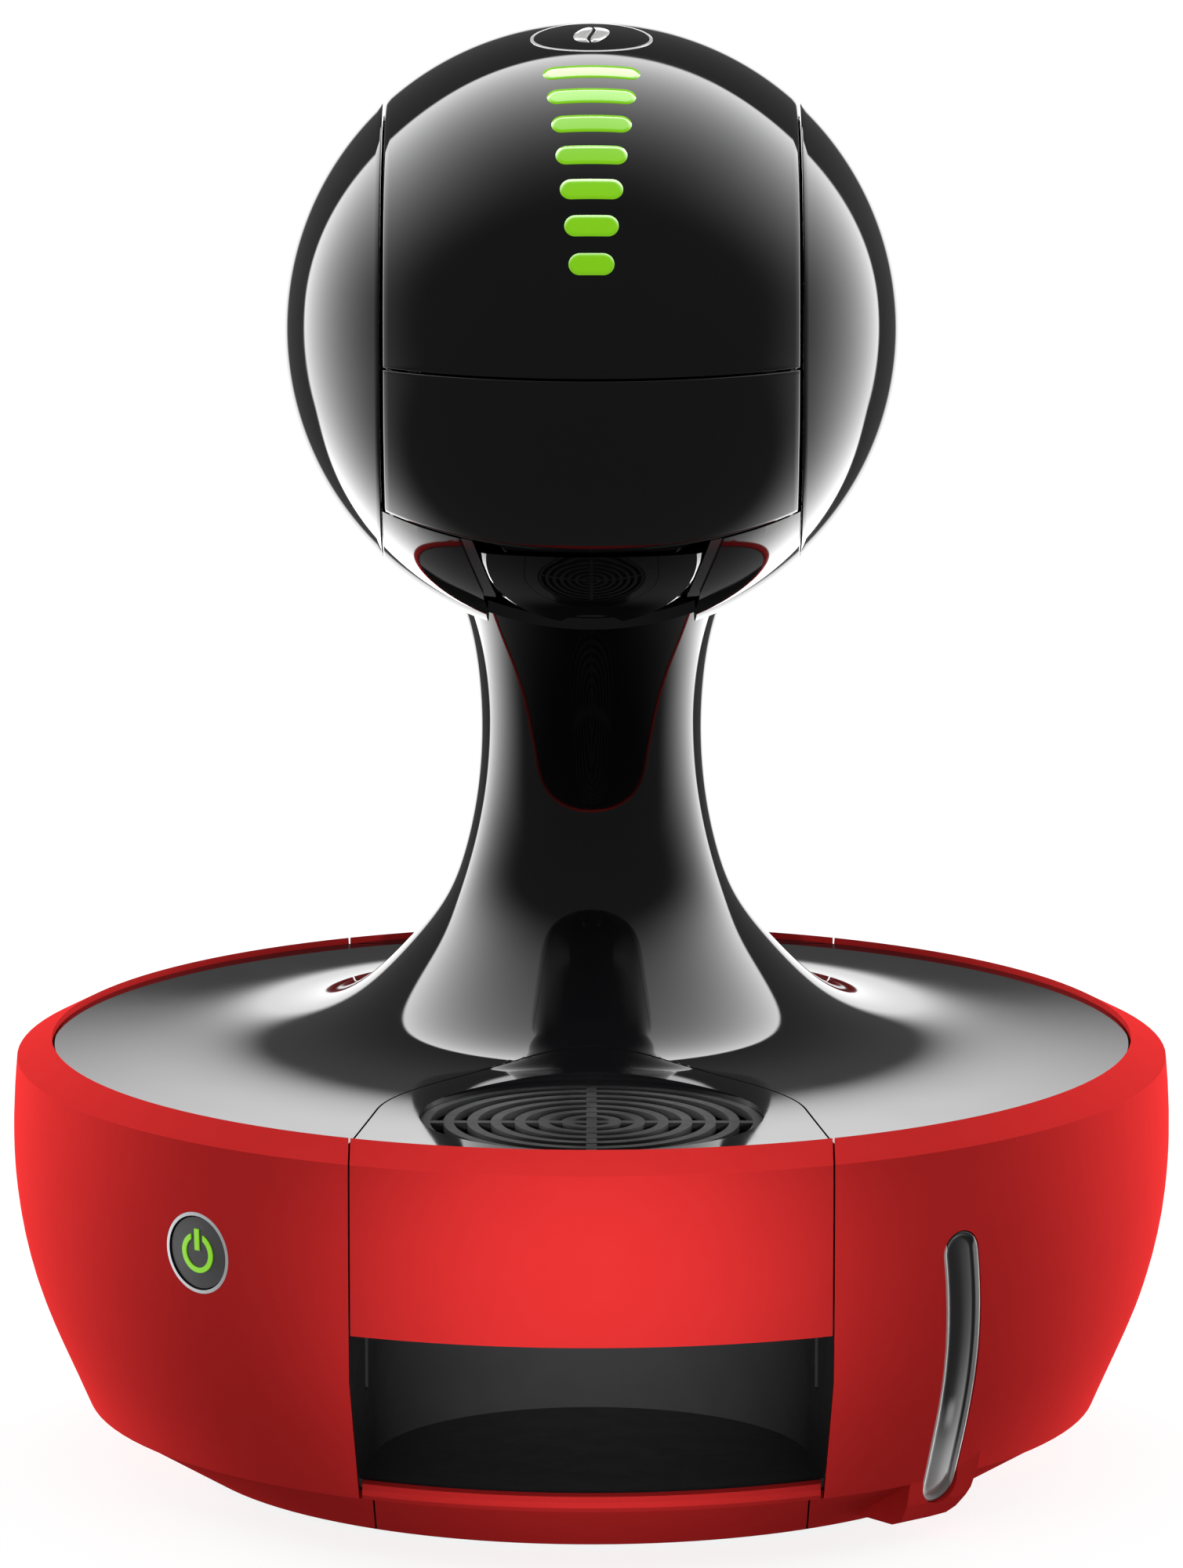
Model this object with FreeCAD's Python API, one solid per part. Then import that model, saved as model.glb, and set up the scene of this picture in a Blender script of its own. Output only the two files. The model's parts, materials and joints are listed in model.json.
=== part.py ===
import FreeCAD, Part
import math
import os

# Pod coffee machine: a round bowl base, a slim neck and a ball head.
# The origin is the centre of the base on the table, -Y is the front, +Z is up, millimetres.

V = FreeCAD.Vector
X_AXIS = V(1, 0, 0)
Z_AXIS = V(0, 0, 1)
ORIGIN = V(0, 0, 0)

# ---- driving dimensions ------------------------------------------------------------------
OVERALL_HEIGHT = 320.0
WALL = 2.4                   # moulded wall thickness
GAP = 0.4                    # gap between separate mouldings
FIT = 0.06                   # radial clearance of a pin in its bore

RIM_Z = 93.3                 # top of the red rim
RIM_INNER = 117.6            # inner radius of the red rim
BOWL_BOTTOM_Z = 14.0
FLANGE_RADIUS = 103.7        # inner edge of the bowl's bottom flange
# Bowl wall as radius and height, widest at 126 mm.
OUTER_PROFILE = [(110.2, BOWL_BOTTOM_Z), (115.0, 25), (120.3, 38), (123.9, 51.3), (125.5, 62),
                 (126.0, 75), (125.2, 89.4)]
FOOT_RADIUS = 88.6           # where the foot skirt meets the table
PAN_TOP = 4.6

HEAD_RADIUS = 65.2
HEAD_FORWARD = 48.0
HEAD = V(0, -HEAD_FORWARD, OVERALL_HEIGHT - HEAD_RADIUS)
BAND_HALF = 43.5             # the ball's side covers begin here
LID_SEAM = -1.0              # height of the lid's front edge over the head centre
LID_PIVOT_RADIUS = 40.0      # lid hinge, from the head centre
LID_PIVOT_ANGLE = 128.0      # degrees up from the front
LID_TAIL = 30.0              # radius of the lid's rear edge about its hinge
PIN_RADIUS = 2.5
CHASSIS_RADIUS = 45.5

CUP_Y = -76.0                # cup and outlet axis
OUTLET_BALL = 32.0           # rounding of the outlet bowl
OUTLET_CENTRE_Z = 229.0
FRAME_TOP = 250.5            # top of the pod holder's frame
FRAME_HALF = 33.5
INJECTOR_LIFT = 6.0

TRAY_BACK_RADIUS = 46.0
TRAY_HALF = 50.6             # half width of the tray at the rim
TRAY_CORNER_Y = -106.0
PANEL_BOTTOM_Z = 52.7
BAY_FLOOR_Z = 14.5
BAY_SILL_HALF = 48.6
RECESS_RADIUS = 36.4
GRID_TOP = 90.2
GRID_PITCH = 5.0
GRID_BAR = 2.2
GROOVE_Y = -80.0             # upright groove that guides the tray carrier

TANK_HALF = 55.0
TANK_FRONT_Y = 32.0
TANK_LID_Y = 104.0
TANK_BOTTOM_Z = 18.0
TANK_TOP_Z = 85.0

BUTTON_AZIMUTH = -41.2
BUTTON_Z = 66.0
BUTTON_RADIUS = 7.7
BUTTON_FACE = 125.3
GAUGE_AZIMUTH = 40.0
GAUGE_TOP = (-4.4, 67.2)     # slot ends in the wall's own plane, across and up
GAUGE_LOW = (4.1, 13.1)
GAUGE_RADIUS = 4.75
INLET_AZIMUTH = 138.0
INLET_Z = 28.0

BAR_COUNT = 7
BAR_FIRST = 20.0             # elevation of the lowest light bar
BAR_STEP = 7.2
BAR_HEIGHT = 4.6
BADGE_ELEVATION = 79.0

os.makedirs("parts", exist_ok=True)


# ---- helpers -----------------------------------------------------------------------------
def save(name, shape):
    """One node is one file; several solids in it stay separate."""
    solids = [s for s in shape.Solids if s.Volume > 0.5]
    if not solids:
        raise ValueError(name + " came out empty")
    result = solids[0] if len(solids) == 1 else Part.makeCompound(solids)
    result.exportStep("parts/" + name + ".step")
    box = result.BoundBox
    state = "" if result.isValid() else "INVALID"
    print("%-20s solids %2d  volume %8.0f" % (name, len(solids), result.Volume), end="")
    print("  x %6.1f %6.1f  y %6.1f %6.1f  z %5.1f %5.1f  %s" % (
        box.XMin, box.XMax, box.YMin, box.YMax, box.ZMin, box.ZMax, state))


def block(x0, x1, y0, y1, z0, z1):
    return Part.makeBox(x1 - x0, y1 - y0, z1 - z0, V(x0, y0, z0))


def rod(start, end, radius):
    axis = end.sub(start)
    return Part.makeCylinder(radius, axis.Length, start, axis)


def disc(radius, z0, z1, x=0.0, y=0.0):
    return Part.makeCylinder(radius, z1 - z0, V(x, y, z0))


def ring(outer, inner, z0, z1, x=0.0, y=0.0):
    return disc(outer, z0, z1, x, y).cut(disc(inner, z0, z1, x, y))


def prism(points, direction):
    return Part.Face(Part.makePolygon(points + [points[0]])).extrude(direction)


def prism_x(yz, x0, x1):
    return prism([V(x0, y, z) for y, z in yz], V(x1 - x0, 0, 0))


def prism_y(xz, y0, y1):
    return prism([V(x, y0, z) for x, z in xz], V(0, y1 - y0, 0))


def lathe(rz, x=0.0, y=0.0):
    """A closed outline of radius and height turned about a vertical axis."""
    face = Part.Face(Part.makePolygon([V(r, 0, z) for r, z in rz + rz[:1]]))
    face.translate(V(x, y, 0))
    return face.revolve(V(x, y, 0), Z_AXIS, 360)


def fuse(*shapes):
    return shapes[0].multiFuse(list(shapes[1:])).removeSplitter()


def both_sides(shape):
    return fuse(shape, shape.mirror(ORIGIN, X_AXIS)) if shape.Solids else shape


def turned(shape, azimuth):
    """A piece drawn at the front of the bowl, carried round to its azimuth."""
    shape = shape.copy()
    shape.rotate(ORIGIN, Z_AXIS, azimuth)
    return shape


def raised(shape, elevation):
    """A piece drawn at the front of the ball, carried up to its elevation."""
    shape = shape.copy()
    shape.rotate(HEAD, X_AXIS, -elevation)
    return shape


def hose(points, radius):
    pieces = [rod(a, b, radius) for a, b in zip(points, points[1:])]
    pieces += [Part.makeSphere(radius, p) for p in points[1:-1]]
    return fuse(*pieces)


# ---- bowl --------------------------------------------------------------------------------
def bowl_solid(inset):
    """The bowl filled from its axis to the wall, inset from the outer face."""
    wall = Part.BSplineCurve()
    wall.interpolate([V(r - inset, 0, z) for r, z in OUTER_PROFILE])
    edge = wall.toShape()
    low = V(OUTER_PROFILE[0][0] - inset, 0, OUTER_PROFILE[0][1])
    high = V(OUTER_PROFILE[-1][0] - inset, 0, OUTER_PROFILE[-1][1])
    path = [low, V(0, 0, low.z), V(0, 0, RIM_Z - inset), V(RIM_INNER, 0, RIM_Z - inset), high]
    edges = [edge] + [Part.makeLine(a, b) for a, b in zip(path, path[1:])]
    face = Part.Face(Part.Wire(Part.__sortEdges__(edges)))
    return face.revolve(ORIGIN, Z_AXIS, 360)


def bowl_wall():
    hollow = fuse(bowl_solid(WALL), disc(RIM_INNER, 80, RIM_Z + 1))
    flange = lathe([(FLANGE_RADIUS, 14), (110.0, 14), (109.0, 16), (FLANGE_RADIUS, 16)])
    return fuse(BOWL.cut(hollow), flange.common(BOWL))


def bay_opening(extra):
    """The front opening: upright at the tray, narrowing to the sill below it."""
    half = TRAY_HALF + extra
    low = BAY_SILL_HALF + extra
    outline = [(-half, 100), (-half, 42), (-low, 10), (low, 10), (half, 42), (half, 100)]
    return prism_y(outline, -140, CUP_Y)


def tray_plan(extra, z0, z1):
    """Plan of the tray: a round back, then tangent sides that widen to the rim."""
    radius = TRAY_BACK_RADIUS + extra
    corner = V(TRAY_HALF + extra, TRAY_CORNER_Y, z0)
    centre = V(0, CUP_Y, z0)
    reach = corner.sub(centre)
    turn = math.atan2(reach.y, reach.x) + math.acos(radius / reach.Length)
    touch = centre.add(V(radius * math.cos(turn), radius * math.sin(turn), 0))
    right = [touch, corner, V(corner.x, -140, z0)]
    left = [V(-p.x, p.y, z0) for p in reversed(right)]
    arc = Part.Arc(left[-1], centre.add(V(0, radius, 0)), touch).toShape()
    sides = [Part.makeLine(a, b) for a, b in zip(right + left, (right + left)[1:])]
    return Part.Face(Part.Wire([arc] + sides)).extrude(V(0, 0, z1 - z0))


def boot():
    """Red boot under the water gauge, carrying the wall down over the foot."""
    outline = [(-112.5, 24), (-110.2, 14), (-109.2, 9), (-107.4, 5.4), (-104.5, 4.2), (-92.0, 4.2),
               (-92.0, 14), (-106.0, 24)]
    body = prism_x(outline, -4.5, 14.5)
    corner = [(6.0, 4.2), (10.5, 6.6), (13.4, 10.6), (14.5, 15.0), (14.5, 30.0)]
    rounding = prism_y([(-4.5, 30.0), (-4.5, 4.2)] + corner, -120, -80)
    return turned(body.common(rounding), GAUGE_AZIMUTH)


def gauge_slot(shrink):
    """The water gauge's upright slot, drawn at the front."""
    radius = GAUGE_RADIUS - shrink
    low = V(GAUGE_LOW[0], -140, GAUGE_LOW[1])
    top = V(GAUGE_TOP[0], -140, GAUGE_TOP[1])
    depth = V(0, 50, 0)
    across = top.sub(low).cross(V(0, 1, 0)).normalize().multiply(radius)
    sides = prism([low.sub(across), low.add(across), top.add(across), top.sub(across)], depth)
    return fuse(sides, rod(low, low.add(depth), radius), rod(top, top.add(depth), radius))


def front_rod(radius, start, end, z=BUTTON_Z):
    """A rod square to the wall, drawn at the front from radius start to radius end."""
    return rod(V(0, -start, z), V(0, -end, z), radius)


def base_shell():
    shell = BOWL_WALL.cut(bay_opening(0))
    shell = fuse(shell, boot())
    shell = shell.cut(turned(gauge_slot(0), GAUGE_AZIMUTH))
    shell = shell.cut(turned(front_rod(8.85, 100, 140), BUTTON_AZIMUTH))
    shell = shell.cut(turned(front_rod(5.4, 104, 130, INLET_Z), INLET_AZIMUTH))
    return shell.cut(block(-TANK_HALF - GAP, TANK_HALF + GAP, 60, 140, 16.2, 100))


def skirt():
    return lathe([(109.6, BOWL_BOTTOM_Z - 0.1), (FOOT_RADIUS, 1.4), (FOOT_RADIUS - 3, 1.4),
                  (FLANGE_RADIUS, 12), (FLANGE_RADIUS, BOWL_BOTTOM_Z - 0.1)])


def foot_skirt():
    return skirt().cut(block(-46, 46, -130, 0, 0, 20)).cut(boot())


def front_foot_panel():
    """Front of the foot, with the rounded sill that closes the bay."""
    panel = skirt().common(block(-45.6, 45.6, -130, 0, 0, 20))
    bead = lathe([(106.5, 13.9), (109.7, 13.9), (110.8, 15.0), (110.8, 16.2), (109.8, 17.2), (106.5, 17.2)])
    sill = bead.common(block(-BAY_SILL_HALF + GAP, BAY_SILL_HALF - GAP, -130, 0, 0, 20))
    return fuse(panel, sill)


# ---- deck and neck -----------------------------------------------------------------------
# Each ring of the deck and neck: half width, front, back and height. The wall's inset at the
# same ring is how far the inner face is drawn in and dropped.
RINGS = [
    (117.0, 117.0, -117.0, 92.0, 2.6, 2.4),
    (103.0, 101.0, -111.0, 91.7, 0.0, 2.4),
    (90.0, 82.0, -104.0, 91.4, 0.0, 2.4),
    (78.0, 62.0, -98.0, 91.3, 0.0, 2.4),
    (67.0, 44.0, -90.0, 91.9, 0.3, 2.3),
    (57.5, 33.5, -82.0, 94.2, 1.2, 2.0),
    (49.0, 26.0, -75.5, 99.3, 1.8, 1.6),
    (39.5, 14.5, -65.0, 109.0, 2.1, 1.1),
    (32.0, 5.5, -57.5, 118.0, 2.3, 0.6),
    (28.3, 1.2, -53.5, 127.5, 2.4, 0.2),
    (25.5, 0.3, -50.0, 140.0, 2.4, 0.0),
    (24.3, 2.8, -47.0, 153.0, 2.4, 0.0),
    (24.5, 6.4, -44.3, 166.0, 2.4, 0.0),
    (26.2, 12.0, -41.0, 180.0, 2.4, 0.0),
    (30.5, 21.0, -37.0, 193.0, 2.4, 0.0),
    (35.5, 32.0, -32.0, 206.0, 2.4, 0.0),
    (38.5, 38.0, -25.0, 222.0, 2.4, 0.0),
    (36.0, 34.0, -13.0, 243.0, 2.4, 0.0),
]
RING_POINTS = 28
SKIRT_DEPTH = 5.0


def ring_wire(half, front, back, height):
    """An egg-shaped ring: its fore and aft reach changes smoothly round it."""
    centre = -(front + back) / 2
    reach = (front - back) / 2
    points = []
    for i in range(RING_POINTS):
        a = 2 * math.pi * i / RING_POINTS
        points.append(V(half * math.sin(a), centre - reach * math.cos(a), height))
    curve = Part.BSplineCurve()
    curve.interpolate(points, PeriodicFlag=True)
    return Part.Wire(curve.toShape())


def tower_solid(inner):
    """Filled deck and neck; the inner one is cut from the outer one to leave the wall."""
    wires = []
    for half, front, back, height, inset, drop in RINGS:
        if inner:
            wires.append(ring_wire(half - inset, front - inset, back + inset, height - drop))
        else:
            wires.append(ring_wire(half, front, back, height))
    base_z = RINGS[0][3] - SKIRT_DEPTH - (1.0 if inner else 0.0)
    first = RINGS[0]
    inset = first[4] if inner else 0.0
    foot = ring_wire(first[0] - inset, first[1] - inset, first[2] + inset, base_z)
    side = Part.makeLoft([foot, wires[0]], False, True)
    skin = Part.makeLoft(wires, False, False)
    faces = side.Faces + skin.Faces + [Part.Face(foot), Part.Face(wires[-1])]
    shell = Part.makeShell(faces)
    shell.sewShape()
    solid = Part.Solid(Part.makeShell(shell.Faces))
    if solid.Volume < 0:
        solid.reverse()
    return solid


# ---- ball head ---------------------------------------------------------------------------
def head_ball(radius):
    return Part.makeSphere(radius, HEAD, Z_AXIS, -90, 90, 360)


def head_skin(outer=HEAD_RADIUS, inner=HEAD_RADIUS - WALL):
    return head_ball(outer).cut(head_ball(inner))


def head_slab(half):
    return block(-half, half, -130, 40, 180, 330)


def head_point(elevation, radius):
    a = math.radians(elevation)
    return V(0, HEAD.y - radius * math.cos(a), HEAD.z + radius * math.sin(a))


PIVOT = head_point(LID_PIVOT_ANGLE, LID_PIVOT_RADIUS)


def pivot_rod(radius, half):
    return rod(V(-half, PIVOT.y, PIVOT.z), V(half, PIVOT.y, PIVOT.z), radius)


def lid_zone(grow):
    """Where the lid is: over its front seam, and behind its hinge within the tail radius."""
    low = HEAD.z + LID_SEAM - grow
    front = block(-60, 60, -130, PIVOT.y, low, 330)
    tail = pivot_rod(LID_TAIL + grow, 60).common(block(-60, 60, -130, 60, low, 330))
    return fuse(front, tail)


SEAM_SLOPE = -6.2 / 16.6     # the pod holder's lower seam drops to the front
SEAM_REF = (34.9, -32.5)


def seam_z(forward):
    return HEAD.z + SEAM_REF[1] + SEAM_SLOPE * (forward - SEAM_REF[0])


def holder_zone(grow):
    """Where the pod holder's front is: between the lid seam and the sloping lower seam."""
    top = HEAD.z + LID_SEAM - GAP + grow
    near, far = 10.0, 80.0
    outline = [(HEAD.y - near, top), (HEAD.y - near, seam_z(near) - grow),
               (HEAD.y - far, seam_z(far) - grow), (HEAD.y - far, top)]
    return prism_x(outline, -60, 60)


def outlet_zone(side, ball):
    """The slot under the pod holder that the outlet bowl slides through."""
    outline = [(-26.0 - side, 221), (-20.0 - side, 204), (-18.0 - side, 190),
               (18.0 + side, 190), (20.0 + side, 204), (26.0 + side, 221)]
    tunnel = rod(V(0, -130, OUTLET_CENTRE_Z), V(0, CUP_Y + 33, OUTLET_CENTRE_Z), ball)
    return prism_y(outline, -130, CUP_Y + 33).common(tunnel)


SURROUND_WIDTH = 2.6


def surround_zone():
    strip = outlet_zone(SURROUND_WIDTH, OUTLET_BALL + 8)
    return strip.common(block(-60, 60, -130, -60, 203.5, 230))


def tower_housing():
    """Deck, neck and the head's fixed band in one gloss moulding."""
    band = head_ball(HEAD_RADIUS).common(head_slab(BAND_HALF))
    body = DECK.fuse(band)
    body = body.cut(tower_solid(True)).cut(head_ball(HEAD_RADIUS - WALL))
    body = body.cut(lid_zone(GAP)).cut(holder_zone(GAP))
    body = body.cut(outlet_zone(0, OUTLET_BALL + GAP)).cut(surround_zone())
    body = body.cut(tray_plan(0, 60, 110))
    body = body.cut(block(-TANK_HALF - GAP, TANK_HALF + GAP, TANK_LID_Y - GAP, 130, 80, 100))
    return max(body.Solids, key=lambda s: s.Volume)


def outlet_surround():
    trim = surround_zone().cut(outlet_zone(0, OUTLET_BALL + 20))
    trim = trim.common(head_skin(HEAD_RADIUS - 0.3, HEAD_RADIUS - 7))
    return trim.cut(holder_zone(GAP))


def side_cover(side):
    half = block(BAND_HALF + 0.25, 70, -130, 40, 180, 330)
    cap = head_skin().common(half)
    lip = rod(V(BAND_HALF + 0.25, HEAD.y, HEAD.z), V(BAND_HALF + 4, HEAD.y, HEAD.z), 45.5)
    lip = lip.cut(rod(V(BAND_HALF, HEAD.y, HEAD.z), V(BAND_HALF + 4, HEAD.y, HEAD.z), 41.0))
    cover = fuse(cap, lip.common(head_ball(HEAD_RADIUS - WALL)))
    return cover if side > 0 else cover.mirror(ORIGIN, X_AXIS)


# ---- frame inside the neck and head ------------------------------------------------------
def tower_frame():
    """Steel channel from the base pan to the head, with a foot plate."""
    web = block(-14, 14, 10, 12, PAN_TOP, 208)
    flanges = both_sides(block(12, 14, 10, 18, PAN_TOP, 205))
    foot = block(-30, 30, 6, 26, PAN_TOP, PAN_TOP + 2)
    return fuse(web, flanges, foot)


def head_chassis():
    """Two cheek plates that carry the lid hinge, the holder rails and the injector bridge."""
    plate = rod(V(36, HEAD.y, HEAD.z), V(38, HEAD.y, HEAD.z), CHASSIS_RADIUS)
    plate = plate.cut(pivot_rod(LID_TAIL + 0.6, 60))
    inward = head_point(LID_PIVOT_ANGLE, 6.0)
    lug = rod(V(36, PIVOT.y, PIVOT.z), V(38, PIVOT.y, PIVOT.z), 4.5)
    reach = inward.sub(PIVOT)
    across = reach.cross(X_AXIS).normalize().multiply(4.0)
    start = V(36, PIVOT.y, PIVOT.z)
    end = V(36, inward.y, inward.z)
    arm = prism([start.add(across), start.sub(across), end.sub(across), end.add(across)], V(2, 0, 0))
    cheek = fuse(plate, lug, arm).cut(pivot_rod(PIN_RADIUS, 60))
    rail_top = FRAME_TOP - 3.0 - GAP
    rail = block(31.5, 36, HEAD.y - 36, HEAD.y + 20, rail_top - 4, rail_top)
    wall = block(-36, 36, -26, -22, 212, 252)
    link = block(-14, 14, -26, 20, 208, 212)
    sides = both_sides(fuse(cheek, rail))
    return fuse(sides, wall, link)


def injector_bridge():
    beam = block(-36, 36, CUP_Y - 6, CUP_Y + 6, 266, 272)
    boss = disc(8, 272, 275, 0, CUP_Y)
    return fuse(beam, boss).cut(disc(4 + FIT, 260, 280, 0, CUP_Y))


# ---- lid ---------------------------------------------------------------------------------
def pill(half_width, height, inner, outer):
    """A bar with round ends lying in the ball's front, to be raised to its place."""
    end = half_width - height / 2
    middle = block(-end, end, HEAD.y - outer, HEAD.y - inner, HEAD.z - height / 2, HEAD.z + height / 2)
    ends = [rod(V(x, HEAD.y - outer, HEAD.z), V(x, HEAD.y - inner, HEAD.z), height / 2) for x in (-end, end)]
    return fuse(middle, *ends)


def bars(inner):
    pieces = []
    for i in range(BAR_COUNT):
        blank = raised(pill(4.7 + 0.9 * i, BAR_HEIGHT, inner, 70), BAR_FIRST + BAR_STEP * i)
        pieces.append(blank)
    return pieces


def oval(half_x, half_z):
    """An oval blank square to the ball's front."""
    curve = Part.Ellipse(ORIGIN, max(half_x, half_z), min(half_x, half_z))
    face = Part.Face(Part.Wire(curve.toShape()))
    face.rotate(ORIGIN, X_AXIS, 90)
    if half_z > half_x:
        face.rotate(ORIGIN, V(0, 1, 0), 90)
    face.translate(V(0, HEAD.y - 55, HEAD.z))
    return face.extrude(V(0, -20, 0))


def badge_inlay():
    """Plain oval ring around a coffee bean, let 1 mm into the lid."""
    frame = oval(12.8, 9.9).cut(oval(11.9, 9.0))
    crease = block(-0.45, 0.45, -130, -100, HEAD.z - 6, HEAD.z + 6)
    bean = oval(3.4, 5.2).cut(crease)
    blank = raised(Part.makeCompound([frame] + bean.Solids), BADGE_ELEVATION)
    return blank.common(head_skin(HEAD_RADIUS, HEAD_RADIUS - 1.0))


def lid_shell():
    skin = head_skin().common(head_slab(BAND_HALF - GAP)).common(lid_zone(0))
    for blank in bars(50):
        skin = skin.cut(blank)
    return skin.cut(badge_inlay())


def display_bars():
    lens = head_skin(HEAD_RADIUS, HEAD_RADIUS - WALL)
    return Part.makeCompound([blank.common(lens) for blank in bars(50)])


def lid_liner():
    """Inner moulding of the lid with the two arms that turn on the hinge pin."""
    front = block(-34, 34, -130, PIVOT.y, HEAD.z + 6, 330)
    skin = head_skin(HEAD_RADIUS - WALL - 0.1, 60).common(front)
    arm = both_sides(block(30, 33.5, PIVOT.y - 7, PIVOT.y + 5, PIVOT.z, PIVOT.z + 22))
    eye = both_sides(rod(V(30, PIVOT.y, PIVOT.z), V(33.5, PIVOT.y, PIVOT.z), 5.5))
    arms = fuse(arm, eye).common(head_ball(HEAD_RADIUS - WALL - 0.1))
    return fuse(skin, arms).cut(pivot_rod(PIN_RADIUS + FIT, 60))


def display_board():
    front = block(-13, 13, -130, -56, HEAD.z + 14, 330)
    return head_skin(59.6, 58.0).common(front)


# ---- injector ----------------------------------------------------------------------------
def injector_plate():
    plate = disc(23, 254.5, 258.5, 0, CUP_Y)
    stem = disc(4, 258.5, 279.0, 0, CUP_Y)
    return fuse(plate, stem).cut(disc(1.2, 250, 262, 0, CUP_Y))


def pierce_needle():
    body = disc(1.2, 252.4, 262, 0, CUP_Y)
    tip = Part.makeCone(0.3, 1.2, 1.1, V(0, CUP_Y, 251.3))
    return fuse(body, tip)


# ---- pod holder --------------------------------------------------------------------------
CUP_FLANGE = 29.5
HOLDER_HALF = BAND_HALF - GAP


def holder_front():
    skin = head_skin().common(head_slab(HOLDER_HALF)).common(holder_zone(0))
    return skin


def finger_lip():
    """Bevelled pull edge under the holder's front."""
    half = [(24.0, HEAD.z - 30), (23.1, HEAD.z - 34.9), (20.3, HEAD.z - 38.4), (17.2, HEAD.z - 39.6)]
    outline = [(-x, z) for x, z in half] + half[::-1]
    lip = prism_y(outline, -130, -78).common(head_skin(HEAD_RADIUS - WALL - 0.1, HEAD_RADIUS - 5))
    return lip


def holder_frame():
    frame = block(-FRAME_HALF, FRAME_HALF, -112, -34, FRAME_TOP - 3, FRAME_TOP)
    frame = frame.common(head_ball(HEAD_RADIUS - WALL))
    return frame.cut(disc(CUP_FLANGE, 240, 260, 0, CUP_Y))


def pod_cup():
    outline = [(27.6, 245.0), (CUP_FLANGE, 247.5), (CUP_FLANGE, FRAME_TOP), (26.2, FRAME_TOP),
               (22.6, 224.6), (18.0, 222.0), (3.0, 221.5), (3.0, 219.5), (19.8, 219.5), (24.0, 224.6)]
    return lathe(outline, 0, CUP_Y)


def outlet_spout():
    outline = [(3.0, 219.4), (7.0, 219.4), (7.0, 206.0), (5.0, 199.0), (3.0, 199.0)]
    return lathe(outline, 0, CUP_Y)


def outlet_bowl():
    centre = V(0, CUP_Y, OUTLET_CENTRE_Z)
    outside = Part.makeSphere(OUTLET_BALL, centre).common(head_ball(HEAD_RADIUS))
    hollow = Part.makeSphere(OUTLET_BALL - 2.2, centre).common(head_ball(HEAD_RADIUS - 2.2))
    bowl = outside.cut(hollow).common(outlet_zone(-GAP, OUTLET_BALL))
    bowl = bowl.common(block(-60, 60, -130, -40, 190, HEAD.z - 40.2))
    inside = Part.makeSphere(OUTLET_BALL - 1, centre)
    web = both_sides(block(7, 12, CUP_Y - 1, CUP_Y + 1, 200, 219.4)).common(inside)
    bowl = fuse(bowl, web)
    return bowl.cut(disc(7.0, 190, 230, 0, CUP_Y))


# ---- tray and its bay --------------------------------------------------------------------
def groove(x0, x1, z0, z1, half):
    return both_sides(block(x0, x1, GROOVE_Y - half, GROOVE_Y + half, z0, z1))


def bay_liner():
    """Black bay: curved back, floor, and an upright groove in each side."""
    wall = tray_plan(2.4, BAY_FLOOR_Z, 86.8).cut(tray_plan(0.6, BAY_FLOOR_Z + 2, 95))
    wall = wall.common(bowl_solid(WALL + 0.2))
    wall = wall.cut(ring(130, FLANGE_RADIUS - 0.2, BAY_FLOOR_Z - 2, 17.4))
    return wall.cut(groove(46, 52, 33, 80, 2.0))


def guide_rails():
    rails = groove(48.4, 49.6, 31, 82, 3.2)
    return rails.cut(tray_plan(2.45, 20, 95))


def tray_carrier():
    """Shelf under the bin with a tongue in each groove."""
    shelf = tray_plan(-0.2, 53.6, 55.6).common(bowl_solid(WALL + 3.0))
    narrow = BAY_SILL_HALF - GAP
    shelf = shelf.common(block(-narrow, narrow, -140, 0, 50, 60)).cut(disc(26, 50, 60, 0, CUP_Y))
    arms = both_sides(block(45.9, 46.7, -85, -75, 53.6, 71))
    tongues = groove(46.0, 47.9, 66.5, 70, 1.5)
    return fuse(shelf, arms, tongues)


def tray_front():
    skin = BOWL_WALL.common(bay_opening(-GAP))
    return skin.common(block(-60, 60, -140, CUP_Y, PANEL_BOTTOM_Z, 100))


def tray_top():
    plate = DECK.common(tray_plan(-0.45, 87.6, 110)).common(disc(RIM_INNER - 0.7, 80, 110))
    plate = plate.cut(disc(RECESS_RADIUS, 88.4, 110, 0, CUP_Y))
    return plate.cut(disc(34.6, 80, 100, 0, CUP_Y))


def drip_grid():
    """Rings and a cross, flat, in the round recess."""
    z0 = GRID_TOP - 1.7
    outer = 31.3
    frame = ring(RECESS_RADIUS - 0.1, 34.1, z0, GRID_TOP, 0, CUP_Y)
    rings = []
    while outer > GRID_BAR + 2:
        rings.append(ring(outer, outer - GRID_BAR, z0, GRID_TOP, 0, CUP_Y))
        outer -= GRID_PITCH
    spokes = [block(-35, 35, CUP_Y - 1.1, CUP_Y + 1.1, z0, GRID_TOP - 0.1),
              block(-1.1, 1.1, CUP_Y - 35, CUP_Y + 35, z0, GRID_TOP - 0.1)]
    return fuse(frame, *rings, *spokes)


def drip_bin():
    """Open bin under the grid."""
    limit = block(-45.3, 45.3, -140, 0, 56.1, 87.5).common(bowl_solid(WALL + 0.1))
    outside = tray_plan(-2.0, 56.1, 87.5).common(limit)
    core = block(-43.5, 43.5, -140, 0, 58, 90).common(bowl_solid(WALL + 2.0))
    return outside.cut(tray_plan(-3.8, 58, 90).common(core))


# ---- tank --------------------------------------------------------------------------------
def tank_plan(half, front, inset, z0, z1):
    slab = block(-half, half, front, 140, z0, z1)
    return slab.common(bowl_solid(inset))


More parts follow.
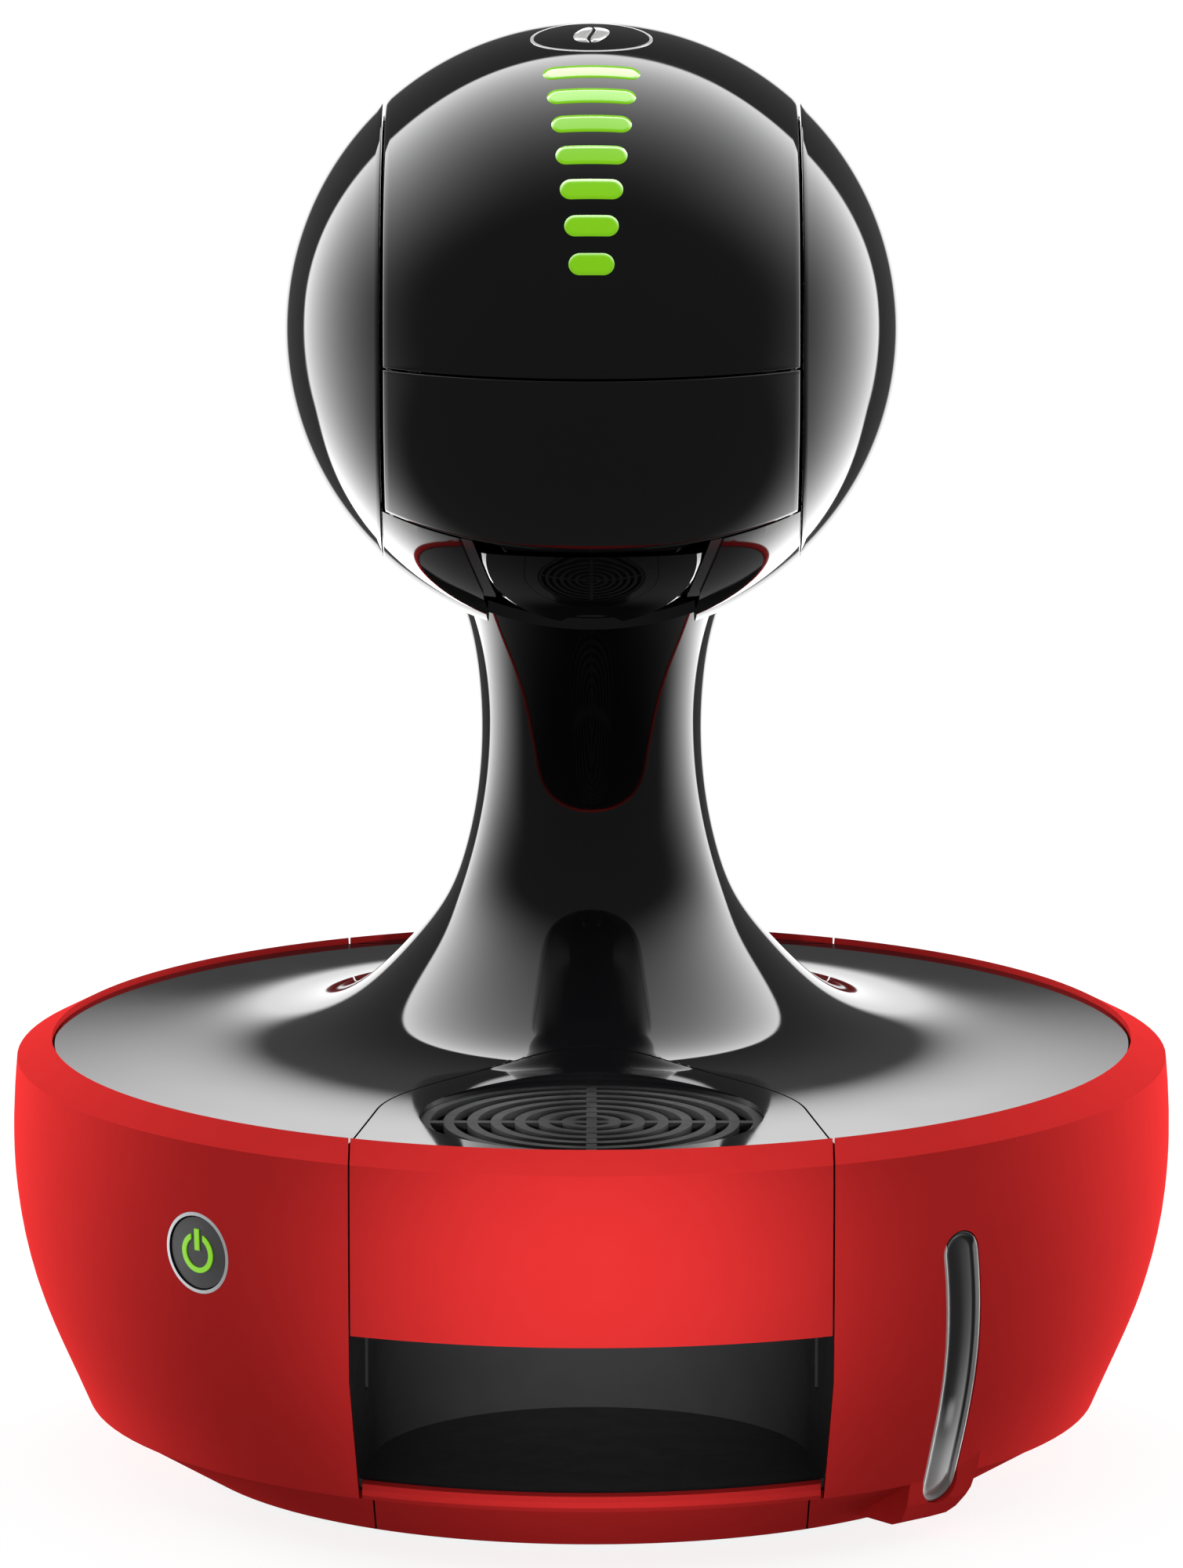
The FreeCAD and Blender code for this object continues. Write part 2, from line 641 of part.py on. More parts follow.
def tank_vessel():
    outside = tank_plan(52, TANK_FRONT_Y, WALL + 1.0, TANK_BOTTOM_Z, TANK_TOP_Z)
    inside = tank_plan(50, TANK_FRONT_Y + 2, WALL + 3.0, TANK_BOTTOM_Z + 2, TANK_TOP_Z + 1)
    return outside.cut(inside).cut(disc(6, 10, 25, 0, TANK_FRONT_Y + 16))


def tank_rear_cover():
    return BOWL_WALL.common(block(-TANK_HALF, TANK_HALF, 60, 140, 16.6, 100))


def tank_grip():
    """Black strip of the deck behind the seam, the pull edge of the tank."""
    strip = DECK.common(block(-TANK_HALF, TANK_HALF, TANK_LID_Y, 130, 87.2, 100))
    return strip.common(disc(RIM_INNER - 0.7, 80, 100))


def tank_valve():
    y = TANK_FRONT_Y + 16
    outline = [(1.5, 17.2), (5.0, 17.2), (5.0, TANK_BOTTOM_Z), (6.0, TANK_BOTTOM_Z), (6.0, 20),
               (8.5, 20), (8.5, 21.5), (4.0, 21.5), (4.0, 27), (1.5, 27)]
    return lathe(outline, 0, y)


def tank_filter():
    return ring(9.5, 8.0, 21.6, 34, 0, TANK_FRONT_Y + 16).fuse(disc(9.5, 34, 35.5, 0, TANK_FRONT_Y + 16))


# ---- power button and water gauge --------------------------------------------------------
def button_cap():
    cap = front_rod(BUTTON_RADIUS, 118, 126.5).common(bowl_solid(0.4))
    return turned(fuse(cap, front_rod(2.5, 112, 118)), BUTTON_AZIMUTH)


def power_symbol():
    """Open ring with a bar, standing a little proud of the button."""
    hoop = front_rod(4.3, 118, 126.0).cut(front_rod(3.2, 118, 126.0))
    hoop = hoop.cut(block(-1.7, 1.7, -130, -110, BUTTON_Z, BUTTON_Z + 6))
    bar = block(-0.6, 0.6, -126.0, -118, BUTTON_Z + 0.6, BUTTON_Z + 5.2)
    face = bowl_solid(0.1).cut(bowl_solid(0.4))
    return turned(Part.makeCompound([hoop.common(face), bar.common(face)]), BUTTON_AZIMUTH)


def button_bezel():
    collar = front_rod(8.8, 116, 130).cut(front_rod(BUTTON_RADIUS + 0.35, 116, 130))
    return turned(collar.common(bowl_solid(0)), BUTTON_AZIMUTH)


def button_switch():
    body = block(-7, 7, -109, -99, BUTTON_Z - 7, BUTTON_Z + 7)
    guide = front_rod(5, 109, 114).cut(front_rod(2.5 + 0.35, 109, 114))
    plunger = front_rod(1.2, 109, 109.8)
    return turned(fuse(body, guide, plunger), BUTTON_AZIMUTH)


def gauge_window():
    solid = fuse(BOWL, turned(boot(), 0)).common(turned(gauge_slot(0.15), GAUGE_AZIMUTH))
    inner = solid.copy()
    a = math.radians(GAUGE_AZIMUTH)
    inner.translate(V(-2.4 * math.sin(a), 2.4 * math.cos(a), 0))
    return solid.cut(inner)


def gauge_tube():
    """Sight tube standing behind the window."""
    low = V(GAUGE_LOW[0] - 1.0, -98.0, 22.0)
    top = V(GAUGE_TOP[0], -114.0, 70.0)
    axis = top.sub(low).normalize()
    outside = rod(low, top, 4.2)
    bore = rod(low.add(V(axis).multiply(2)), top.sub(V(axis).multiply(2)), 3.0)
    return turned(outside.cut(bore), GAUGE_AZIMUTH)


# ---- works in the base -------------------------------------------------------------------
def base_pan():
    edge = FOOT_RADIUS - 3.05
    lip = FOOT_RADIUS - 0.6
    pan = lathe([(0, 2.6), (edge - 0.05, 2.6), (edge - 0.05, 1.2), (lip, 1.2), (lip, 1.3), (edge, 1.3),
                 (edge, PAN_TOP), (0, PAN_TOP)])
    for x, y in FOOT_PLACES:
        pan = pan.cut(disc(2.0, 0, 10, x, y))
    return pan


FOOT_PLACES = [(72 * math.cos(math.radians(a)), 72 * math.sin(math.radians(a))) for a in (45, 135, 225, 315)]
SCREW_PLACES = [(80 * math.cos(math.radians(a)), 80 * math.sin(math.radians(a)))
                for a in (30, 150, 250, 290)]


def rubber_feet():
    feet = []
    for x, y in FOOT_PLACES:
        feet.append(fuse(disc(9, 0, 2.6, x, y), disc(2.0, 2.6, PAN_TOP + 1, x, y)))
    return Part.makeCompound(feet)


def case_screws():
    screws = []
    for x, y in SCREW_PLACES:
        screws.append(fuse(disc(3.2, PAN_TOP, PAN_TOP + 2, x, y), disc(1.5, PAN_TOP + 2, PAN_TOP + 3, x, y)))
    return Part.makeCompound(screws)


PUMP_X = -82.0
PUMP_Z = 46.0


def pump():
    barrel = rod(V(PUMP_X, -18, PUMP_Z), V(PUMP_X, 34, PUMP_Z), 18)
    neck = rod(V(PUMP_X, 34, PUMP_Z), V(PUMP_X, 50, PUMP_Z), 8)
    nose = rod(V(PUMP_X, -34, PUMP_Z), V(PUMP_X, -18, PUMP_Z), 6)
    coil = block(PUMP_X - 21, PUMP_X + 21, -8, 24, PUMP_Z - 19, PUMP_Z + 19)
    return fuse(barrel, neck, nose, coil)


def pump_mounts():
    blocks = [block(PUMP_X - 4, PUMP_X + 12, y, y + 8, PAN_TOP, PUMP_Z - 19) for y in (-8, 16)]
    return Part.makeCompound(blocks)


def thermoblock():
    body = block(64, 104, -20, 40, 24, 66)
    fins = [block(64, 104, y, y + 3, 66, 72) for y in range(-18, 38, 8)]
    feet = [block(68, 76, y, y + 8, PAN_TOP, 24) for y in (-16, 28)]
    return fuse(body, *fins, *feet)


def flow_meter():
    body = disc(13, 30, 46, -46, 0)
    spigots = rod(V(-46, -20, 38), V(-46, 20, 38), 3)
    post = disc(4, PAN_TOP, 30, -46, 0)
    return fuse(body, spigots, post)


def control_board():
    board = block(-38, 38, -12, -10.4, 22, 80)
    relays = [block(x, x + 14, -10.4, 0, 30, 42) for x in (-32, -10)]
    caps = [rod(V(x, -10.4, 64), V(x, 2, 64), 5) for x in (-24, -8)]
    chip = block(10, 30, -10.4, -8, 40, 60)
    stand = [block(x, x + 4, -14, -10, PAN_TOP, 24) for x in (-34, 30)]
    return fuse(board, chip, *relays, *caps, *stand)


def tank_dock():
    y = TANK_FRONT_Y + 16
    plate = block(-30, 30, y - 14, y + 36, PAN_TOP, 8)
    socket = ring(9, 5.5, 8, 16.6, 0, y)
    spigot = rod(V(-7, y, 12), V(-30, y, 12), 3)
    return fuse(plate, socket, spigot.cut(disc(5.5, 8, 17, 0, y)))


def suction_hose():
    y = TANK_FRONT_Y + 16
    return hose([V(-30, y, 12), V(-40, y - 2, 12), V(-46, 27, 13), V(-46, 20, 38)], 3.0)


def pump_hose():
    return hose([V(-46, -20, 38), V(-52, -32, 40), V(PUMP_X, -44, PUMP_Z), V(PUMP_X, -34, PUMP_Z)], 3.0)


def heater_hose():
    return hose([V(PUMP_X, 50, PUMP_Z), V(PUMP_X, 58, PUMP_Z), V(-63, 50, 76), V(-58, 25, 82),
                 V(40, 25, 83), V(84, 30, 80), V(84, 30, 72)], 3.0)


def brew_hose():
    """From the heater up the neck to the injector bridge."""
    return hose([V(64, 0, 50), V(50, 0, 56), V(26, 16, 84), V(17.5, 24, 104), V(17.5, 24, 150),
                 V(17.5, 18, 190), V(18, -4, 220), V(18, -8, 246), V(17, -24, 259), V(10, -46, 269),
                 V(6, CUP_Y + 6, 269)], 2.5)


def gauge_hose():
    start = turned(Part.Vertex(GAUGE_LOW[0] - 1.0, -98.0, 22.0), GAUGE_AZIMUTH).Point
    return hose([start, V(60, -60, 12), V(58, 44, 12), V(30, 52, 10)], 2.5)


def mains_inlet():
    """Strain relief where the mains lead enters, at the rear right."""
    nut = front_rod(8, 108, 111, INLET_Z)
    sleeve = front_rod(5.0, 108, 121.0, INLET_Z)
    collar = front_rod(7, 117.2, 119.2, INLET_Z)
    bore = front_rod(3.2, 105, 123, INLET_Z)
    return turned(fuse(nut, sleeve, collar).cut(bore), INLET_AZIMUTH)


# ---- build -------------------------------------------------------------------------------
BOWL = bowl_solid(0)
BOWL_WALL = bowl_wall()
DECK = tower_solid(False)

save("base_shell", base_shell())
save("foot_skirt", foot_skirt())
save("front_foot_panel", front_foot_panel())
save("base_pan", base_pan())
save("rubber_feet", rubber_feet())
save("case_screws", case_screws())
save("tower_housing", tower_housing())
save("left_side_cover", side_cover(-1))
save("right_side_cover", side_cover(1))
save("outlet_surround", outlet_surround())
save("tower_frame", tower_frame())
save("head_chassis", head_chassis())
save("hinge_pin", pivot_rod(PIN_RADIUS, 38.4))
save("injector_bridge", injector_bridge())
save("bay_liner", bay_liner())
save("guide_rails", guide_rails())
save("button_bezel", button_bezel())
save("button_switch", button_switch())
save("gauge_window", gauge_window())
save("gauge_tube", gauge_tube())
save("pump", pump())
save("pump_mounts", pump_mounts())
save("thermoblock", thermoblock())
save("flow_meter", flow_meter())
save("control_board", control_board())
save("tank_dock", tank_dock())
save("suction_hose", suction_hose())
save("pump_hose", pump_hose())
save("heater_hose", heater_hose())
save("brew_hose", brew_hose())
save("gauge_hose", gauge_hose())
save("mains_inlet", mains_inlet())

save("lid_shell", lid_shell())
save("lid_liner", lid_liner())
save("display_board", display_board())
save("display_bars", display_bars())
save("lid_badge", badge_inlay())

save("injector_plate", injector_plate())
save("pierce_needle", pierce_needle())
save("injector_seal", ring(23, 19, 252.0, 254.4, 0, CUP_Y))

save("holder_front", holder_front())
save("finger_lip", finger_lip())
save("holder_frame", holder_frame())
save("pod_cup", pod_cup())
save("outlet_spout", outlet_spout())
save("outlet_bowl", outlet_bowl())

save("tray_carrier", tray_carrier())
save("tray_front", tray_front())
save("tray_top", tray_top())
save("drip_grid", drip_grid())
save("drip_bin", drip_bin())

save("button_cap", button_cap())
save("power_symbol", power_symbol())

save("tank_vessel", tank_vessel())
save("tank_rear_cover", tank_rear_cover())
save("tank_grip", tank_grip())
save("tank_valve", tank_valve())
save("tank_filter", tank_filter())
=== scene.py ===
import json
import math
import bmesh
import bpy
import numpy as np
from mathutils import Matrix, Vector


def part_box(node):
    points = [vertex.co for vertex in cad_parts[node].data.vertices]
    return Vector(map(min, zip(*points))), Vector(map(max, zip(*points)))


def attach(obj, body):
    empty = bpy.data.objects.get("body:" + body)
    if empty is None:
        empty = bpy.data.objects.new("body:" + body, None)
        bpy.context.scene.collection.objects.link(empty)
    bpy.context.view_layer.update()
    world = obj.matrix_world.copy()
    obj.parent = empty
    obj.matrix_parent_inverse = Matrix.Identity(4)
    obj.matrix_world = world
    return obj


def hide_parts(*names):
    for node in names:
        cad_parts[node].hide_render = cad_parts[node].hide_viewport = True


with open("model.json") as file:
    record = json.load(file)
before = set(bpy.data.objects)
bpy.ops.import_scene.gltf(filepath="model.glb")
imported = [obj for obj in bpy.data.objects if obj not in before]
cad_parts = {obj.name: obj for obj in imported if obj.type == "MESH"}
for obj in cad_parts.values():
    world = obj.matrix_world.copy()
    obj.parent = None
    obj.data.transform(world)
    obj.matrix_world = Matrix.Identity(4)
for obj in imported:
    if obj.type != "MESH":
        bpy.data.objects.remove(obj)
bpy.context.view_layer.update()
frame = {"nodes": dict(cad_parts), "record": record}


# ---- Red shell ---------------------------------------------------------------------------
# The bowl, its foot, the tray's front and the tank's cover are injection mouldings in
# red plastic with a satin lacquer. They snap to the base pan and to the tray.

class Flow:
    """A value on its way through a material; operators on it add Math nodes."""

    def __init__(self, tree, socket):
        self.tree = tree
        self.socket = socket

    def node(self, kind, settings=None, **inputs):
        made = self.tree.nodes.new(kind)
        for key, value in (settings or {}).items():
            if key == "stops":
                ramp = made.color_ramp
                while len(ramp.elements) < len(value):
                    ramp.elements.new(1.0)
                for element, (place, colour) in zip(ramp.elements, value):
                    element.position = place
                    element.color = (*colour, 1.0)
            else:
                setattr(made, key, value)
        for key, value in inputs.items():
            socket = made.inputs[int(key[1:])] if key[1:].isdigit() else made.inputs[key.replace("_", " ")]
            self.feed(socket, value)
        return Flow(self.tree, made.outputs[0])

    def feed(self, socket, value):
        if isinstance(value, Flow):
            self.tree.links.new(value.socket, socket)
        else:
            socket.default_value = value

    def out(self, name):
        return Flow(self.tree, self.socket.node.outputs[name])

    def maths(self, operation, first, second):
        return self.node("ShaderNodeMath", {"operation": operation}, i0=first, i1=second)

    def __add__(self, other):
        return self.maths("ADD", self, other)

    def __radd__(self, other):
        return self.maths("ADD", other, self)

    def __sub__(self, other):
        return self.maths("SUBTRACT", self, other)

    def __rsub__(self, other):
        return self.maths("SUBTRACT", other, self)

    def __mul__(self, other):
        return self.maths("MULTIPLY", self, other)

    def __rmul__(self, other):
        return self.maths("MULTIPLY", other, self)

    def __truediv__(self, other):
        return self.maths("DIVIDE", self, other)

    def step(self, low, high):
        """0 below low, 1 above high, smooth between."""
        return self.node("ShaderNodeMapRange", {"interpolation_type": "SMOOTHSTEP"},
                         Value=self, From_Min=low, From_Max=high)


def finish(name, colour, roughness, **constants):
    """A material with one surface shader; returns it, the shader's sockets and object space."""
    material = bpy.data.materials.new(name)
    material.use_nodes = True
    tree = material.node_tree
    shader = tree.nodes["Principled BSDF"]
    shader.inputs["Base Color"].default_value = (*colour, 1.0)
    shader.inputs["Roughness"].default_value = roughness
    for key, value in constants.items():
        shader.inputs[key.replace("_", " ")].default_value = value
    start = Flow(tree, None)
    space = start.node("ShaderNodeTexCoord").out("Object")
    return material, shader.inputs, space


def wear(material, surface, space, scale, depth, rough_low, rough_high, colour_a, colour_b):
    """Fine moulding grain: colour, roughness and bump that vary with the same noise."""
    broad = space.node("ShaderNodeTexNoise", Vector=space, Scale=scale * 0.04, Detail=4.0, Roughness=0.6)
    fine = space.node("ShaderNodeTexNoise", Vector=space, Scale=scale, Detail=3.0, Roughness=0.5)
    tint = space.node("ShaderNodeMix", {"data_type": "RGBA"}, Factor=broad.out("Fac"),
                      i6=(*colour_a, 1.0), i7=(*colour_b, 1.0))
    space.feed(surface["Base Color"], tint.out(2))
    space.feed(surface["Roughness"], broad.out("Fac").step(0.35, 0.65) * (rough_high - rough_low) + rough_low)
    bump = space.node("ShaderNodeBump", Strength=0.25, Distance=depth, Height=fine.out("Fac"))
    space.feed(surface["Normal"], bump)


def coat_node(name, material):
    """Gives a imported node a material; its shape stays as designed."""
    mesh = frame["nodes"][name].data
    mesh.materials.clear()
    mesh.materials.append(material)


red, surface, space = finish("red_satin", (0.80, 0.034, 0.034), 0.5, Specular_IOR_Level=0.0)
wear(red, surface, space, 2600.0, 0.00002, 0.46, 0.54, (0.82, 0.036, 0.036), (0.77, 0.031, 0.031))
for node in ("base_shell", "foot_skirt", "front_foot_panel", "tray_front", "tank_rear_cover"):
    coat_node(node, red)

# ---- Ball head ---------------------------------------------------------------------------
# The ball is four polished black mouldings on one sphere: two side covers, the lid over the
# front seam and the pod holder's front under it. Each edge is broken by a small radius.

HEAD_RADIUS = 0.0652
HEAD_Y = -0.048
HEAD_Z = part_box("lid_shell")[1].z - HEAD_RADIUS
WALL = 0.0024
GAP = 0.0004
BAND_HALF = 0.0435
LID_SEAM = -0.001
CAP_GAP = 0.00025
POLE = 0.004

black, surface, space = finish("piano_black", (0.007, 0.007, 0.008), 0.035, IOR=1.52)
broad = space.node("ShaderNodeTexNoise", Vector=space, Scale=45.0, Detail=3.0, Roughness=0.55)
space.feed(surface["Roughness"], broad.out("Fac").step(0.3, 0.8) * 0.03 + 0.03)
tint = space.node("ShaderNodeMix", {"data_type": "RGBA"}, Factor=broad.out("Fac"),
                  i6=(0.006, 0.006, 0.007, 1.0), i7=(0.009, 0.009, 0.010, 1.0))
space.feed(surface["Base Color"], tint.out(2))


def ball_point(x, elevation, radius):
    """Point of the sphere at a distance x to the side and an angle up from the front."""
    ring = math.sqrt(max(radius * radius - x * x, 0.0))
    return Vector((x, HEAD_Y - ring * math.cos(elevation), HEAD_Z + ring * math.sin(elevation)))


def turn_outward(mesh, merge=0.0):
    """Points every face outward, after joining points closer than a merge distance."""
    work = bmesh.new()
    work.from_mesh(mesh)
    if merge:
        bmesh.ops.remove_doubles(work, verts=work.verts, dist=merge)
    bmesh.ops.recalc_face_normals(work, faces=work.faces)
    work.to_mesh(mesh)
    work.free()


def bands(loops, count):
    """Faces between each closed loop of points and the next, given by their first points."""
    faces = []
    for first, second in zip(loops, loops[1:]):
        for k in range(count):
            n = (k + 1) % count
            faces.append((first + k, first + n, second + n, second + k))
    return faces


def piece(name, verts, faces, body, material):
    """A finished smooth piece, riding on its body."""
    mesh = bpy.data.meshes.new(name)
    mesh.from_pydata(verts, [], faces)
    mesh.validate()
    turn_outward(mesh, 0.000001)
    mesh.polygons.foreach_set("use_smooth", [True] * len(mesh.polygons))
    mesh.materials.append(material)
    thing = bpy.data.objects.new(name, mesh)
    bpy.context.scene.collection.objects.link(thing)
    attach(thing, body)
    return thing


EDGE_STEPS = [(0.00032, 0.0), (0.00010, 0.00008), (0.0, 0.00032), (0.0, WALL)]   # inset, depth


def ball_patch(name, half, low, high, columns, rows, body):
    """A wall of the ball between two side planes and two seams given as angles."""
    def spot(u, v, inset, depth):
        radius = HEAD_RADIUS - depth
        edge = half - inset
        x = -edge + 2 * edge * u
        start = low(x) + inset / HEAD_RADIUS
        stop = high(x) - inset / HEAD_RADIUS
        return ball_point(x, start + (stop - start) * v, radius)

    border = [(i / (columns - 1), 0.0) for i in range(columns)]
    border += [(1.0, j / (rows - 1)) for j in range(1, rows)]
    border += [(1.0 - i / (columns - 1), 1.0) for i in range(1, columns)]
    border += [(0.0, 1.0 - j / (rows - 1)) for j in range(1, rows - 1)]
    verts, faces = [], []
    for inset, depth in (EDGE_STEPS[0], EDGE_STEPS[-1]):
        base = len(verts)
        for i in range(columns):
            for j in range(rows):
                verts.append(spot(i / (columns - 1), j / (rows - 1), inset, depth))
        for i in range(columns - 1):
            for j in range(rows - 1):
                a = base + i * rows + j
                faces.append((a, a + rows, a + rows + 1, a + 1))
    loops = []
    for inset, depth in EDGE_STEPS:
        base = len(verts)
        verts.extend(spot(u, v, inset, depth) for u, v in border)
        loops.append(base)
    faces += bands(loops, len(border))
    return piece(name, verts, faces, body, black)


def ring_radius(x):
    """Radius of the circle that a side plane cuts from the ball."""
    return math.sqrt(HEAD_RADIUS ** 2 - x * x)


PIVOT_ANGLE = math.radians(128)
PIVOT_RADIUS = 0.040
LID_TAIL = 0.030


def tail_angle(x, gap=0.0):
    """Where the lid's rear edge, round about its hinge, meets the sphere."""
    ring = ring_radius(x)
    reach = LID_TAIL + gap
    cosine = (ring ** 2 + PIVOT_RADIUS ** 2 - reach ** 2) / (2 * ring * PIVOT_RADIUS)
    return PIVOT_ANGLE + math.acos(cosine)


def level_angle(x, height):
    """Where a level seam meets the sphere."""
    return math.asin(height / ring_radius(x))


SEAM_SLOPE = math.atan(6.2 / 16.6)
SEAM_OFFSET = -0.0325 + math.tan(SEAM_SLOPE) * 0.0349


def slope_angle(x, gap=0.0):
    """Where the pod holder's sloping lower seam meets the sphere."""
    return math.asin((SEAM_OFFSET - gap) * math.cos(SEAM_SLOPE) / ring_radius(x)) - SEAM_SLOPE


lid = ball_patch("lid_cover", BAND_HALF - GAP, lambda x: level_angle(x, LID_SEAM), tail_angle, 97, 161,
                 "lid")
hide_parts("lid_shell")
holder = ball_patch("pod_holder_cover", BAND_HALF - GAP, slope_angle,
                    lambda x: level_angle(x, LID_SEAM - GAP), 97, 49, "pod_holder")
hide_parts("holder_front")


def side_cap(name, side):
    """A plain cap of the ball with a rounded rim."""
    verts = []
    around, rings, back_rings = 192, 48, 12
    plane = BAND_HALF + CAP_GAP

    def ring(x, radius):
        r = math.sqrt(max(radius * radius - x * x, 0.0))
        base = len(verts)
        for k in range(around):
            a = 2 * math.pi * k / around
            verts.append((side * x, HEAD_Y - r * math.cos(a), HEAD_Z + r * math.sin(a)))
        return base

    limit = math.acos((plane + EDGE_STEPS[0][0]) / HEAD_RADIUS)
    loops = [ring(HEAD_RADIUS * math.cos(max(limit * k / rings, POLE)), HEAD_RADIUS)
             for k in range(rings + 1)]
    loops += [ring(plane + inset, HEAD_RADIUS - depth) for inset, depth in EDGE_STEPS[1:]]
    inner = HEAD_RADIUS - WALL
    back = math.acos(plane / inner)
    loops += [ring(inner * math.cos(max(back * k / back_rings, POLE)), inner)
              for k in range(back_rings, -1, -1)]
    faces = bands(loops, around)
    faces.append(tuple(loops[0] + k for k in range(around)))
    faces.append(tuple(loops[-1] + k for k in range(around)))
    return piece(name, verts, faces, "machine", black)


for side, name in ((-1, "left"), (1, "right")):
    cap = side_cap(name + "_ball_cover", side)
    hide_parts(name + "_side_cover")

# ---- Touch display -----------------------------------------------------------------------
# Seven lit bars under the lid's clear lacquer, each a little wider than the one below, and
# a white inlay on the crown: an oval ring round a coffee bean.

green, surface, space = finish("lit_green", (0.20, 0.56, 0.002), 0.12, Coat_Weight=1.0, Coat_Roughness=0.03,
                               Emission_Color=(0.205, 0.57, 0.002, 1.0), Emission_Strength=0.75)
glow = space.node("ShaderNodeTexNoise", Vector=space, Scale=220.0, Detail=2.0)
tint = space.node("ShaderNodeMix", {"data_type": "RGBA"}, Factor=glow.out("Fac"),
                  i6=(0.19, 0.54, 0.001, 1.0), i7=(0.22, 0.60, 0.003, 1.0))
space.feed(surface["Base Color"], tint.out(2))

PROUD = 0.00004
BURIED = -0.0002
BAR_HEIGHT = 0.0046
BAR_HALF, BAR_GROWTH = 0.0047, 0.0009
BAR_FIRST, BAR_PITCH = 20.0, 7.2


def on_ball(x, z, elevation, lift):
    """Point of the ball over a flat outline set square to it at an elevation."""
    radius = HEAD_RADIUS + lift
    y = -math.sqrt(radius ** 2 - x * x - z * z)
    turned = Matrix.Rotation(-elevation, 3, "X") @ Vector((x, y, z))
    return Vector((turned.x, HEAD_Y + turned.y, HEAD_Z + turned.z))


def inlay(name, loops, elevation, body, material):
    """Rings of an outline from its middle to its edge, laid on the ball with a rim."""
    verts = []
    count = len(loops[0])
    for number, loop in enumerate(loops):
        lift = PROUD if number < len(loops) - 1 else BURIED
        verts.extend(on_ball(x, z, elevation, lift) for x, z in loop)
    faces = bands(range(0, len(verts), count), count)
    return piece(name, verts, faces, body, material)


def pill_outline(half_width, height, share):
    """Outline of a round-ended bar, shrunk towards its middle line."""
    radius, end = height / 2 * share, half_width - height / 2
    turns = [math.pi * k / 20 - math.pi / 2 for k in range(21)]
    right = [(end + radius * math.cos(a), radius * math.sin(a)) for a in turns]
    run = [end * (1 - k / 8) for k in range(1, 16)]
    top = [(x, radius) for x in run]
    return right + top + [(-x, -z) for x, z in right + top]


for number in range(7):
    half = BAR_HALF + BAR_GROWTH * number
    elevation = math.radians(BAR_FIRST + BAR_PITCH * number)
    shares = [0.0, 0.3, 0.6, 1.0, 1.0]
    bar = inlay("display_bar_%d" % (number + 1), [pill_outline(half, BAR_HEIGHT, s) for s in shares],
                elevation, "lid", green)
    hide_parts("display_bars")

white, surface, space = finish("white_inlay", (0.85, 0.85, 0.84), 0.25, Coat_Weight=1.0, Coat_Roughness=0.03)
grain = space.node("ShaderNodeTexNoise", Vector=space, Scale=400.0)
space.feed(surface["Roughness"], grain.out("Fac") * 0.1 + 0.2)


def oval_loop(half_x, half_z, count=96):
    """Points round an oval."""
    turns = [2 * math.pi * k / count for k in range(count)]
    return [(half_x * math.cos(a), half_z * math.sin(a)) for a in turns]


BADGE = math.radians(79)
sizes = [(0.0121, 0.0092), (0.0125, 0.0096), (0.0128, 0.0099), (0.0128, 0.0099)]
hoop = inlay("badge_ring", [oval_loop(*size) for size in sizes], BADGE, "lid", white)
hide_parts("lid_badge")


BEAN_WIDTH, BEAN_HALF, CREASE, CREASE_SWAY = 0.0032, 0.0052, 0.0004, 0.0006


def bean_half(side, count=48):
    """Half of a coffee bean, cut by its wavy crease."""
    outline = []
    for k in range(count):
        a = math.pi * k / (count - 1) - math.pi / 2
        x = side * (CREASE + BEAN_WIDTH * math.cos(a)) + CREASE_SWAY * math.sin(2 * a)
        outline.append((x, BEAN_HALF * math.sin(a)))
    for k in range(1, count - 1):
        z = BEAN_HALF * (1 - 2 * k / (count - 1))
        outline.append((side * CREASE + CREASE_SWAY * math.sin(2 * math.asin(z / BEAN_HALF)), z))
    return outline


for side, name in ((-1, "left"), (1, "right")):
    rim = bean_half(side)
    centre = (side * 0.0017, 0.0)
    rings = [[(centre[0] + (x - centre[0]) * s, z * s) for x, z in rim] for s in (0.0, 0.5, 1.0, 1.0)]
    bean = inlay("badge_bean_" + name, rings, BADGE, "lid", white)
    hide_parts("lid_badge")

# ---- Deck and neck -----------------------------------------------------------------------
# One polished black moulding makes the deck, the neck and the fixed band of the ball. It is
# snapped down on the red bowl; the tray's top and the tank's grip continue its surface.

# half width, reach to the front and to the back, and height of the deck and neck, in mm
RINGS = np.array([
    (117.0, 117.0, -117.0, 92.0), (103.0, 101.0, -111.0, 91.7), (90.0, 82.0, -104.0, 91.4),
    (78.0, 62.0, -98.0, 91.3), (67.0, 44.0, -90.0, 91.9), (57.5, 33.5, -82.0, 94.2),
    (49.0, 26.0, -75.5, 99.3), (39.5, 14.5, -65.0, 109.0), (32.0, 5.5, -57.5, 118.0),
    (28.3, 1.2, -53.5, 127.5), (25.5, 0.3, -50.0, 140.0), (24.3, 2.8, -47.0, 153.0),
    (24.5, 6.4, -44.3, 166.0), (26.2, 12.0, -41.0, 180.0), (30.5, 21.0, -37.0, 193.0),
    (35.5, 32.0, -32.0, 206.0), (38.5, 38.0, -25.0, 222.0), (36.0, 34.0, -13.0, 243.0)]) / 1000
RINGS = np.vstack([2 * RINGS[0] - RINGS[1], RINGS, 2 * RINGS[-1] - RINGS[-2]])
AROUND = 240
STEPS = 7
SKIRT = 0.005
FILLET = 0.006
HEAD = Vector((0.0, HEAD_Y, HEAD_Z))
CROWN = Vector((0.0, -0.74, 0.67)).normalized()


